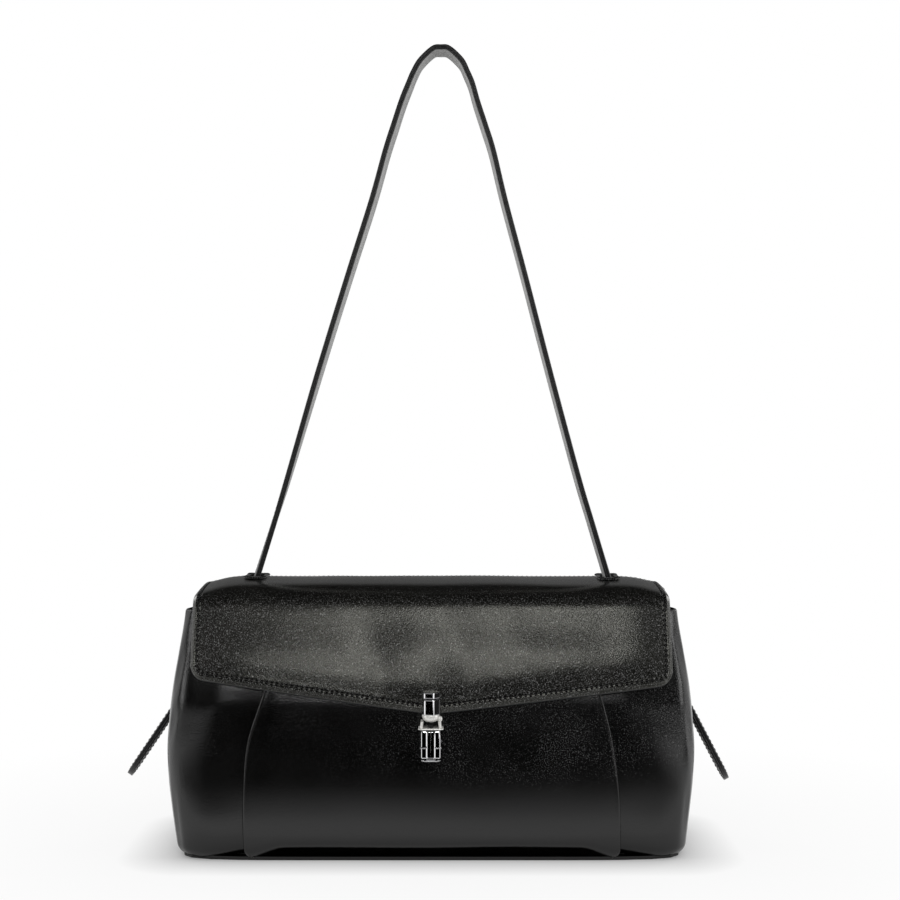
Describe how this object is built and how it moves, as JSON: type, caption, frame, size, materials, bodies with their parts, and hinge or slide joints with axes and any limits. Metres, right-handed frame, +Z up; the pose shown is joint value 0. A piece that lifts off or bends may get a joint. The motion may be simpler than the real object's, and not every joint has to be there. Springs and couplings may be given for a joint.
{
  "type": "shoulder bag",
  "caption": "Structured leather flap bag with a tucked front, open body, looped shoulder strap threaded through flap and side slots, and a metal turning clasp.",
  "frame": {"origin": "on the floor, below the middle of the base panel", "axes": "+X to the right as the front is seen, -Y towards the front with the clasp, +Z up to the top of the strap"},
  "size_m": [0.3695, 0.1286, 0.4871],
  "materials": {
    "black_leather": "fine pebbled grain, semi-gloss",
    "grey_strap_face": "matt split leather",
    "lining_cloth": "plain weave",
    "grey_board": "pressed fibre board",
    "clasp_chrome": "polished",
    "plain_steel": "plain"
  },
  "bodies": {
    "body": {"front_panel": "black_leather", "back_panel": "black_leather", "gusset_left": "black_leather", "gusset_right": "black_leather", "base_panel": "black_leather", "base_board": "grey_board", "lining_front": "lining_cloth", "lining_back": "lining_cloth", "lining_gusset_left": "lining_cloth", "lining_gusset_right": "lining_cloth", "lining_base": "lining_cloth", "flap_back_band": "black_leather", "gusset_binding_left": "black_leather", "gusset_binding_right": "black_leather", "strap_run_left": "black_leather", "strap_run_right": "black_leather", "clasp_housing": "clasp_chrome", "clasp_flange": "clasp_chrome", "clasp_foot": "clasp_chrome", "clasp_fork": "clasp_chrome", "clasp_baseplate": "clasp_chrome", "clasp_inner_plate": "plain_steel", "clasp_screw_lower": "plain_steel", "clasp_screw_upper": "plain_steel"},
    "flap_top": {"flap_top": "black_leather", "flap_top_lining": "lining_cloth", "slot_binding_left": "black_leather", "slot_binding_right": "black_leather", "strap_root_left": "black_leather", "strap_root_right": "black_leather"},
    "flap_front": {"flap_front": "black_leather", "flap_front_lining": "lining_cloth", "clasp_bracket": "clasp_chrome", "clasp_lug": "clasp_chrome", "flap_washer_plate": "plain_steel", "clasp_rivet_lower": "plain_steel", "clasp_rivet_upper": "plain_steel"},
    "clasp_knob": {"clasp_key": "plain_steel", "clasp_barrel": "clasp_chrome", "clasp_cap": "clasp_chrome"},
    "strap": {"strap_arch_outer": "black_leather", "strap_arch_inner": "grey_strap_face"},
    "tail_left": {"strap_tail_left_outer": "black_leather", "strap_tail_left_inner": "grey_strap_face"},
    "tail_right": {"strap_tail_right_outer": "black_leather", "strap_tail_right_inner": "grey_strap_face"}
  },
  "joints": [
    {"name": "flap_hinge", "type": "hinge", "parent": "body", "child": "flap_top", "pos_m": [0, 0.0425, 0.1551], "axis": [1, 0, 0], "range_deg": [-110, 0]},
    {"name": "flap_fold", "type": "hinge", "parent": "flap_top", "child": "flap_front", "pos_m": [0, -0.04277, 0.1505], "axis": [1, 0, 0], "range_deg": [-60, 0]},
    {"name": "clasp_turn", "type": "hinge", "parent": "flap_front", "child": "clasp_knob", "pos_m": [0, -0.0676, 0.0874], "axis": [0, 0, 1], "range_deg": [0, 90]},
    {"name": "strap_swing", "type": "hinge", "parent": "flap_top", "child": "strap", "pos_m": [0, 0, 0.185], "axis": [1, 0, 0], "range_deg": [-45, 95]},
    {"name": "tail_left_bend", "type": "hinge", "parent": "body", "child": "tail_left", "pos_m": [-0.1578, 0, 0.0822], "axis": [0, 1, 0], "range_deg": [0, 50], "stiffness_Nm_per_rad": 0.02},
    {"name": "tail_right_bend", "type": "hinge", "parent": "body", "child": "tail_right", "pos_m": [0.1578, 0, 0.0822], "axis": [0, -1, 0], "range_deg": [0, 50], "stiffness_Nm_per_rad": 0.02}
  ]
}
